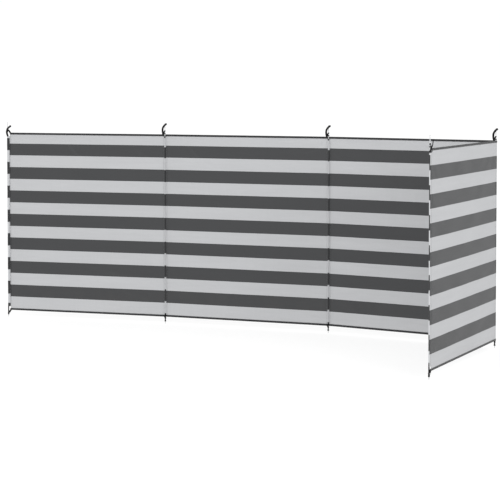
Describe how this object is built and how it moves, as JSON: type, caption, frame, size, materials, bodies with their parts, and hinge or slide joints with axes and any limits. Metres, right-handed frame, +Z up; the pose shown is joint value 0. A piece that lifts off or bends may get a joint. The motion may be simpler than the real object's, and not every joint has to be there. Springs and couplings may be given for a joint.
{
  "type": "beach windbreak",
  "caption": "Free-standing striped cloth windbreak in equal bays on thin steel rods, with edge tapes, sewn pole sleeves, black hooks and webbing loops.",
  "frame": {"origin": "flat end of pole 1's spike", "axes": "+Z up; +X along bay 1 towards pole 2; the run turns towards -Y and bay 4 comes forward along -Y"},
  "size_m": [4.1805, 1.8414, 1.645],
  "materials": {
    "striped_cloth": "plain woven polyester, light and dark grey stripes",
    "edge_tape": "folded woven tape",
    "rod": "bright galvanised",
    "moulding": "black moulded",
    "webbing": "black webbing"
  },
  "bodies": {
    "bay_1": {"panel_1": "striped_cloth", "top_binding_1": "edge_tape", "bottom_binding_1": "edge_tape", "pole_1": "rod", "foot_collar_1": "moulding", "guy_hook_1": "moulding", "sleeve_1": "striped_cloth", "top_strap_1": "webbing", "bottom_strap_1": "webbing", "pole_2": "rod", "foot_collar_2": "moulding", "guy_hook_2": "moulding", "sleeve_2": "striped_cloth", "top_strap_2": "webbing", "bottom_strap_2": "webbing"},
    "bay_2": {"panel_2": "striped_cloth", "top_binding_2": "edge_tape", "bottom_binding_2": "edge_tape", "pole_3": "rod", "foot_collar_3": "moulding", "guy_hook_3": "moulding", "sleeve_3": "striped_cloth", "top_strap_3": "webbing", "bottom_strap_3": "webbing"},
    "bay_3": {"panel_3": "striped_cloth", "top_binding_3": "edge_tape", "bottom_binding_3": "edge_tape", "pole_4": "rod", "foot_collar_4": "moulding", "guy_hook_4": "moulding", "sleeve_4": "striped_cloth", "top_strap_4": "webbing", "bottom_strap_4": "webbing"},
    "bay_4": {"panel_4": "striped_cloth", "top_binding_4": "edge_tape", "bottom_binding_4": "edge_tape", "pole_5": "rod", "foot_collar_5": "moulding", "guy_hook_5": "moulding", "sleeve_5": "striped_cloth", "top_strap_5": "webbing", "bottom_strap_5": "webbing"}
  },
  "joints": [
    {"name": "pole_2_turn", "type": "hinge", "parent": "bay_1", "child": "bay_2", "pos_m": [1.4, 0, 0.8], "axis": [0, 0, -1], "range_deg": [-89, 81]},
    {"name": "pole_3_turn", "type": "hinge", "parent": "bay_2", "child": "bay_3", "pos_m": [2.79659, -0.09766, 0.8], "axis": [0, 0, -1], "range_deg": [-95, 75]},
    {"name": "pole_4_turn", "type": "hinge", "parent": "bay_3", "child": "bay_4", "pos_m": [4.155, -0.43635, 0.8], "axis": [0, 0, -1], "range_deg": [-171.5, 3.5]}
  ]
}
